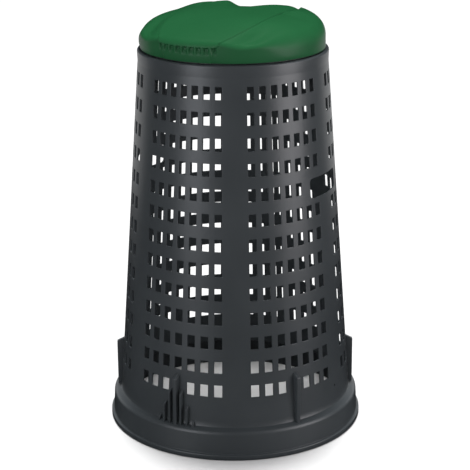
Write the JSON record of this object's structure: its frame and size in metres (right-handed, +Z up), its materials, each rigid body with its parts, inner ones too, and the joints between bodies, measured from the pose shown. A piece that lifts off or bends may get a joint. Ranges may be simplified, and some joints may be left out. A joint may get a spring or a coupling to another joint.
{
  "type": "garden waste sack holder",
  "caption": "Free-standing conical sack holder with perforated walls, side hand grips, stacking fins on a flanged foot, a lift-off bag ring and a hinged domed lid.",
  "frame": {"origin": "middle of the foot ring's underside, on the ground", "axes": "+Z up along the cone's axis, -Y towards the front with the lid's finger grip, +Y towards the hinge, +X to the right seen from the front"},
  "size_m": [0.513, 0.513, 0.8381],
  "materials": {
    "stand_plastic": "injection-moulded polypropylene, anthracite grey, satin",
    "ring_plastic": "injection-moulded polypropylene, anthracite grey, satin",
    "pin_plastic": "acetal, black, smooth",
    "lid_plastic": "injection-moulded polypropylene, leaf green, fine satin grain"
  },
  "bodies": {
    "stand": {"wall_panel_01": "stand_plastic", "wall_panel_02": "stand_plastic", "wall_panel_03": "stand_plastic", "wall_panel_04": "stand_plastic", "wall_panel_05": "stand_plastic", "wall_panel_06": "stand_plastic", "wall_panel_07": "stand_plastic", "wall_panel_08": "stand_plastic", "wall_panel_09": "stand_plastic", "wall_panel_10": "stand_plastic", "wall_panel_11": "stand_plastic", "wall_panel_12": "stand_plastic", "top_collar": "stand_plastic", "base_flange": "stand_plastic", "stacking_fin_front": "stand_plastic", "stacking_fin_front_right": "stand_plastic", "stacking_fin_back_right": "stand_plastic", "stacking_fin_back": "stand_plastic", "stacking_fin_back_left": "stand_plastic", "stacking_fin_front_left": "stand_plastic", "step_rib_left_1": "stand_plastic", "step_rib_right_1": "stand_plastic", "step_rib_left_2": "stand_plastic", "step_rib_right_2": "stand_plastic", "step_rib_left_3": "stand_plastic", "step_rib_right_3": "stand_plastic"},
    "ring": {"bag_ring": "ring_plastic", "hinge_bracket": "ring_plastic", "hinge_pin_left": "pin_plastic", "hinge_pin_right": "pin_plastic"},
    "lid": {"lid_shell": "lid_plastic", "lid_lugs": "lid_plastic"}
  },
  "joints": [
    {"name": "ring_lift", "type": "slide", "parent": "stand", "child": "ring", "axis": [0, 0, 1], "range_m": [0, 0.12]},
    {"name": "lid_hinge", "type": "hinge", "parent": "ring", "child": "lid", "pos_m": [0, 0.19, 0.77], "axis": [-1, 0, 0], "range_deg": [0, 105]}
  ]
}
